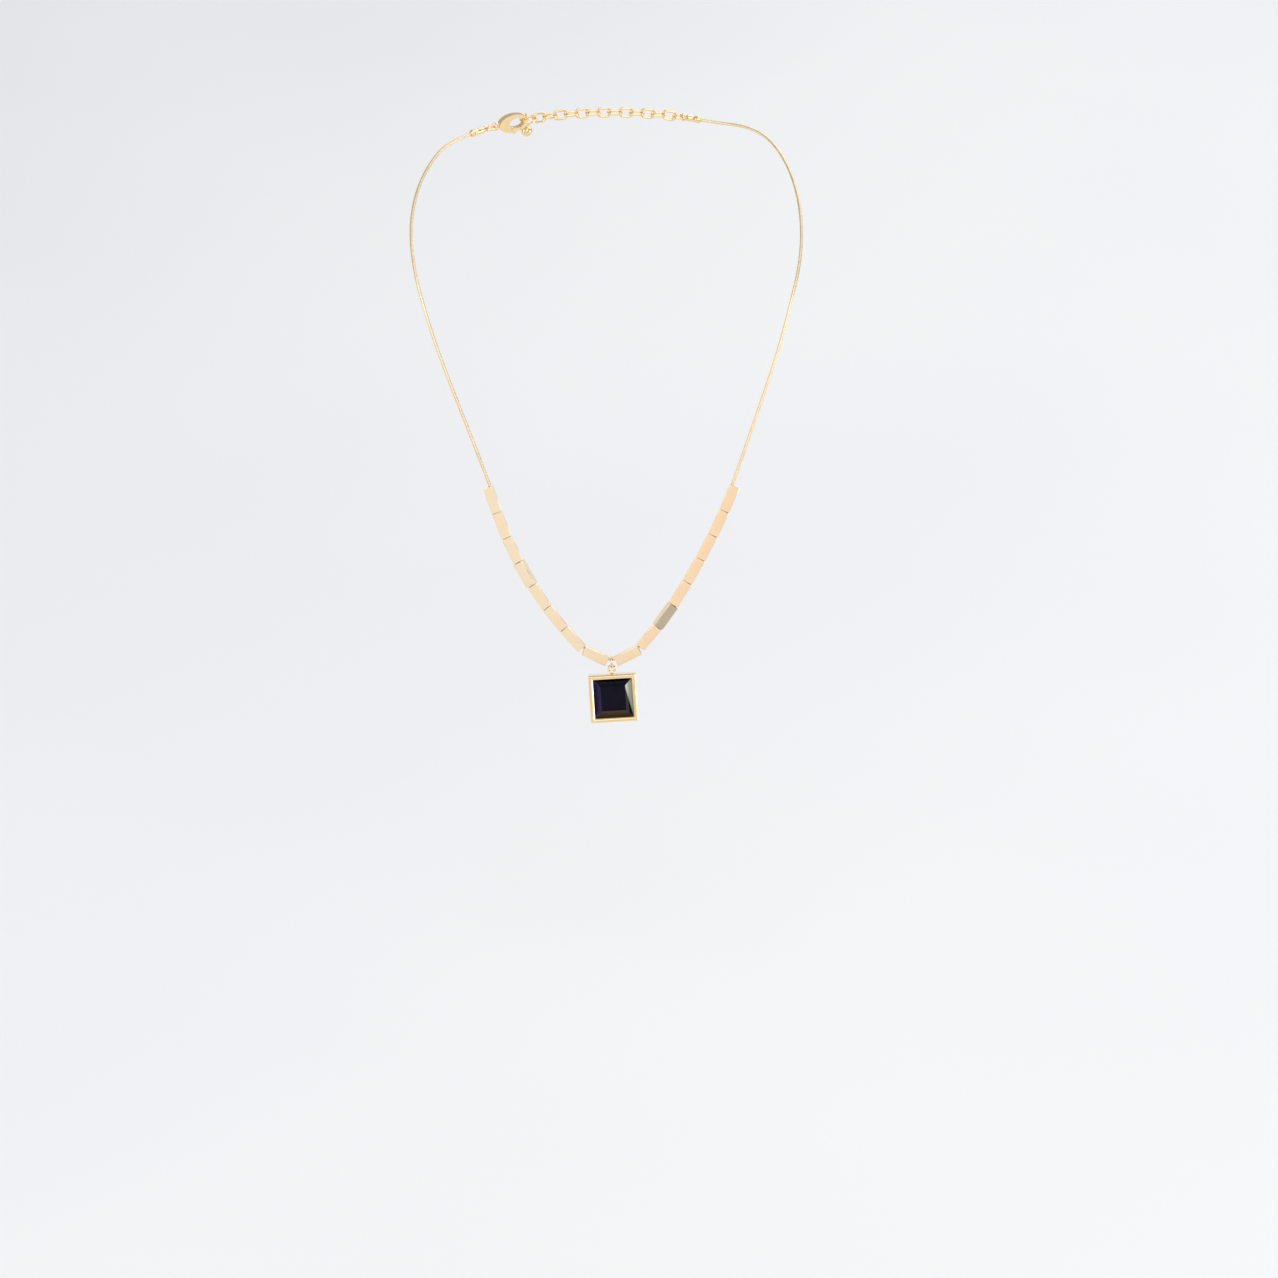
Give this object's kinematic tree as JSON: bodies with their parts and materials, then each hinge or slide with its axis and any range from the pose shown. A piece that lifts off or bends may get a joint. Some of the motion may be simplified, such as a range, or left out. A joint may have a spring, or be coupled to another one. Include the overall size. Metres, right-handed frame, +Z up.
{
  "type": "pendant necklace",
  "caption": "Choker-length necklace of a snake chain with two wings of hollow square tube beads and a square bezel-set dark stone pendant.",
  "frame": {"origin": "rearmost point of the closed necklace, at the nape of the neck, where the extender chain lies", "axes": "+Z up, the front and the stone towards -Y, +X to the viewer's right; the front leans back 26 degrees as on a chest"},
  "size_m": [0.1093, 0.126, 0.1335],
  "materials": {
    "bead_gold": "polished pale gold plate",
    "chain_gold": "bright gold plate",
    "finding_gold": "polished gold plate",
    "dark_stone": "polished facets",
    "spring_steel": "plain"
  },
  "bodies": {
    "necklace_chain": {"snake_chain": "chain_gold", "end_cap_left": "finding_gold", "end_cap_right": "finding_gold"},
    "bar_bead_left_1": {"bar_bead_left_1": "bead_gold"},
    "bar_bead_left_2": {"bar_bead_left_2": "bead_gold"},
    "bar_bead_left_3": {"bar_bead_left_3": "bead_gold"},
    "bar_bead_left_4": {"bar_bead_left_4": "bead_gold"},
    "bar_bead_left_5": {"bar_bead_left_5": "bead_gold"},
    "bar_bead_left_6": {"bar_bead_left_6": "bead_gold"},
    "bar_bead_left_7": {"bar_bead_left_7": "bead_gold"},
    "bar_bead_left_8": {"bar_bead_left_8": "bead_gold"},
    "bar_bead_right_1": {"bar_bead_right_1": "bead_gold"},
    "bar_bead_right_2": {"bar_bead_right_2": "bead_gold"},
    "bar_bead_right_3": {"bar_bead_right_3": "bead_gold"},
    "bar_bead_right_4": {"bar_bead_right_4": "bead_gold"},
    "bar_bead_right_5": {"bar_bead_right_5": "bead_gold"},
    "bar_bead_right_6": {"bar_bead_right_6": "bead_gold"},
    "bar_bead_right_7": {"bar_bead_right_7": "bead_gold"},
    "bar_bead_right_8": {"bar_bead_right_8": "bead_gold"},
    "bail_ring": {"bail_ring": "finding_gold"},
    "pendant": {"pendant_loop": "finding_gold", "bezel_frame": "finding_gold", "square_stone": "dark_stone"},
    "jump_ring_left": {"jump_ring_left": "finding_gold"},
    "clasp": {"clasp_body": "finding_gold", "clasp_rivet": "finding_gold", "clasp_spring": "spring_steel"},
    "clasp_lever": {"clasp_lever": "finding_gold"},
    "end_ring": {"end_ring": "finding_gold"},
    "drop_ring": {"drop_ring": "finding_gold"},
    "end_drop": {"end_drop": "finding_gold"},
    "extender_link_1": {"extender_link_1": "finding_gold"},
    "extender_link_2": {"extender_link_2": "finding_gold"},
    "extender_link_3": {"extender_link_3": "finding_gold"},
    "extender_link_4": {"extender_link_4": "finding_gold"},
    "extender_link_5": {"extender_link_5": "finding_gold"},
    "extender_link_6": {"extender_link_6": "finding_gold"},
    "extender_link_7": {"extender_link_7": "finding_gold"},
    "extender_link_8": {"extender_link_8": "finding_gold"},
    "extender_link_9": {"extender_link_9": "finding_gold"},
    "extender_link_10": {"extender_link_10": "finding_gold"},
    "extender_link_11": {"extender_link_11": "finding_gold"},
    "extender_link_12": {"extender_link_12": "finding_gold"},
    "extender_link_13": {"extender_link_13": "finding_gold"},
    "jump_ring_right": {"jump_ring_right": "finding_gold"}
  },
  "joints": [
    {"name": "bead_left_1_turn", "type": "hinge", "parent": "necklace_chain", "child": "bar_bead_left_1", "pos_m": [-0.00444, -0.11368, -0.11335], "axis": [-0.9026, 0.1887, 0.3869], "continuous": true},
    {"name": "bead_left_2_turn", "type": "hinge", "parent": "necklace_chain", "child": "bar_bead_left_2", "pos_m": [-0.01071, -0.11161, -0.10909], "axis": [-0.6691, 0.3258, 0.6679], "continuous": true},
    {"name": "bead_left_3_turn", "type": "hinge", "parent": "necklace_chain", "child": "bar_bead_left_3", "pos_m": [-0.0155, -0.1091, -0.10396], "axis": [-0.6157, 0.3454, 0.7083], "continuous": true},
    {"name": "bead_left_4_turn", "type": "hinge", "parent": "necklace_chain", "child": "bar_bead_left_4", "pos_m": [-0.01988, -0.10646, -0.09854], "axis": [-0.5592, 0.3634, 0.7451], "continuous": true},
    {"name": "bead_left_5_turn", "type": "hinge", "parent": "necklace_chain", "child": "bar_bead_left_5", "pos_m": [-0.02384, -0.10369, -0.09285], "axis": [-0.5, 0.3796, 0.7784], "continuous": true},
    {"name": "bead_left_6_turn", "type": "hinge", "parent": "necklace_chain", "child": "bar_bead_left_6", "pos_m": [-0.02731, -0.10079, -0.08692], "axis": [-0.4305, 0.3957, 0.8112], "continuous": true},
    {"name": "bead_left_7_turn", "type": "hinge", "parent": "necklace_chain", "child": "bar_bead_left_7", "pos_m": [-0.03026, -0.09778, -0.08075], "axis": [-0.3584, 0.4093, 0.8391], "continuous": true},
    {"name": "bead_left_8_turn", "type": "hinge", "parent": "necklace_chain", "child": "bar_bead_left_8", "pos_m": [-0.03279, -0.09474, -0.0745], "axis": [-0.3256, 0.4145, 0.8498], "continuous": true},
    {"name": "bead_right_1_turn", "type": "hinge", "parent": "necklace_chain", "child": "bar_bead_right_1", "pos_m": [0.00443, -0.11367, -0.11333], "axis": [0.8988, 0.1922, 0.394], "continuous": true},
    {"name": "bead_right_2_turn", "type": "hinge", "parent": "necklace_chain", "child": "bar_bead_right_2", "pos_m": [0.01033, -0.11141, -0.10868], "axis": [0.6428, 0.3358, 0.6885], "continuous": true},
    {"name": "bead_right_3_turn", "type": "hinge", "parent": "necklace_chain", "child": "bar_bead_right_3", "pos_m": [0.0149, -0.10882, -0.10338], "axis": [0.5807, 0.3569, 0.7317], "continuous": true},
    {"name": "bead_right_4_turn", "type": "hinge", "parent": "necklace_chain", "child": "bar_bead_right_4", "pos_m": [0.01901, -0.10609, -0.09779], "axis": [0.5225, 0.3738, 0.7663], "continuous": true},
    {"name": "bead_right_5_turn", "type": "hinge", "parent": "necklace_chain", "child": "bar_bead_right_5", "pos_m": [0.02277, -0.1033, -0.09206], "axis": [0.4924, 0.3815, 0.7823], "continuous": true},
    {"name": "bead_right_6_turn", "type": "hinge", "parent": "necklace_chain", "child": "bar_bead_right_6", "pos_m": [0.0263, -0.10045, -0.08622], "axis": [0.4617, 0.3888, 0.7972], "continuous": true},
    {"name": "bead_right_7_turn", "type": "hinge", "parent": "necklace_chain", "child": "bar_bead_right_7", "pos_m": [0.02958, -0.09754, -0.08024], "axis": [0.4226, 0.3973, 0.8146], "continuous": true},
    {"name": "bead_right_8_turn", "type": "hinge", "parent": "necklace_chain", "child": "bar_bead_right_8", "pos_m": [0.03256, -0.09456, -0.07415], "axis": [0.3827, 0.405, 0.8304], "continuous": true},
    {"name": "bail_swing", "type": "hinge", "parent": "necklace_chain", "child": "bail_ring", "pos_m": [0, -0.11413, -0.11427], "axis": [1, 0, 0], "range_deg": [-90, 90]},
    {"name": "pendant_swing", "type": "hinge", "parent": "bail_ring", "child": "pendant", "pos_m": [0, -0.11516, -0.11637], "axis": [0, -0.8988, 0.4384], "range_deg": [-15, 15]},
    {"name": "jump_ring_left_roll", "type": "hinge", "parent": "necklace_chain", "child": "jump_ring_left", "pos_m": [-0.03491, -0.01122, 0], "axis": [0.8132, 0.582, 0], "range_deg": [-12, 12]},
    {"name": "clasp_roll", "type": "hinge", "parent": "necklace_chain", "child": "clasp", "pos_m": [-0.02969, -0.00813, 0], "axis": [0.8679, 0.4967, 0], "range_deg": [-12, 12]},
    {"name": "clasp_lever_press", "type": "hinge", "parent": "clasp", "child": "clasp_lever", "pos_m": [-0.03089, -0.00882, -0.00115], "axis": [0.4967, -0.8679, 0], "range_deg": [0, 25], "stiffness_Nm_per_rad": 0.004, "springref_deg": -20.05, "deforming": ["clasp_spring"]},
    {"name": "end_ring_roll", "type": "hinge", "parent": "necklace_chain", "child": "end_ring", "pos_m": [-0.02416, -0.00513, 0], "axis": [0.9152, 0.403, 0], "range_deg": [-12, 12]},
    {"name": "drop_ring_swing", "type": "hinge", "parent": "end_ring", "child": "drop_ring", "pos_m": [-0.02477, -0.00296, 0], "axis": [0.9624, 0.2717, 0], "range_deg": [-30, 45]},
    {"name": "end_drop_swing", "type": "hinge", "parent": "drop_ring", "child": "end_drop", "pos_m": [-0.02477, -0.00296, -0.00206], "axis": [-0.2717, 0.9624, 0], "range_deg": [-30, 30]},
    {"name": "extender_link_1_roll", "type": "hinge", "parent": "necklace_chain", "child": "extender_link_1", "pos_m": [0.01628, -0.00228, 0], "axis": [0.9625, -0.2714, 0], "range_deg": [-12, 12]},
    {"name": "extender_link_2_roll", "type": "hinge", "parent": "necklace_chain", "child": "extender_link_2", "pos_m": [0.01322, -0.00151, 0], "axis": [0.9754, -0.2204, 0], "range_deg": [-12, 12]},
    {"name": "extender_link_3_roll", "type": "hinge", "parent": "necklace_chain", "child": "extender_link_3", "pos_m": [0.01012, -0.00089, 0], "axis": [0.9857, -0.1687, 0], "range_deg": [-12, 12]},
    {"name": "extender_link_4_roll", "type": "hinge", "parent": "necklace_chain", "child": "extender_link_4", "pos_m": [0.00699, -0.00044, 0], "axis": [0.9932, -0.1166, 0], "range_deg": [-12, 12]},
    {"name": "extender_link_5_roll", "type": "hinge", "parent": "necklace_chain", "child": "extender_link_5", "pos_m": [0.00385, -0.00016, 0], "axis": [0.9979, -0.0642, 0], "range_deg": [-12, 12]},
    {"name": "extender_link_6_roll", "type": "hinge", "parent": "necklace_chain", "child": "extender_link_6", "pos_m": [0.00069, -0.00004, 0], "axis": [0.9999, -0.0115, 0], "range_deg": [-12, 12]},
    {"name": "extender_link_7_roll", "type": "hinge", "parent": "necklace_chain", "child": "extender_link_7", "pos_m": [-0.00247, -0.00008, 0], "axis": [0.9992, 0.0411, 0], "range_deg": [-12, 12]},
    {"name": "extender_link_8_roll", "type": "hinge", "parent": "necklace_chain", "child": "extender_link_8", "pos_m": [-0.00562, -0.0003, 0], "axis": [0.9956, 0.0937, 0], "range_deg": [-12, 12]},
    {"name": "extender_link_9_roll", "type": "hinge", "parent": "necklace_chain", "child": "extender_link_9", "pos_m": [-0.00875, -0.00067, 0], "axis": [0.9893, 0.1459, 0], "range_deg": [-12, 12]},
    {"name": "extender_link_10_roll", "type": "hinge", "parent": "necklace_chain", "child": "extender_link_10", "pos_m": [-0.01186, -0.00122, 0], "axis": [0.9802, 0.1978, 0], "range_deg": [-12, 12]},
    {"name": "extender_link_11_roll", "type": "hinge", "parent": "necklace_chain", "child": "extender_link_11", "pos_m": [-0.01494, -0.00192, 0], "axis": [0.9685, 0.2491, 0], "range_deg": [-12, 12]},
    {"name": "extender_link_12_roll", "type": "hinge", "parent": "necklace_chain", "child": "extender_link_12", "pos_m": [-0.01798, -0.00279, 0], "axis": [0.954, 0.2998, 0], "range_deg": [-12, 12]},
    {"name": "extender_link_13_roll", "type": "hinge", "parent": "necklace_chain", "child": "extender_link_13", "pos_m": [-0.02096, -0.00382, 0], "axis": [0.9369, 0.3496, 0], "range_deg": [-12, 12]},
    {"name": "jump_ring_right_roll", "type": "hinge", "parent": "necklace_chain", "child": "jump_ring_right", "pos_m": [0.01889, -0.00307, 0], "axis": [0.9491, -0.315, 0], "range_deg": [-12, 12]}
  ]
}
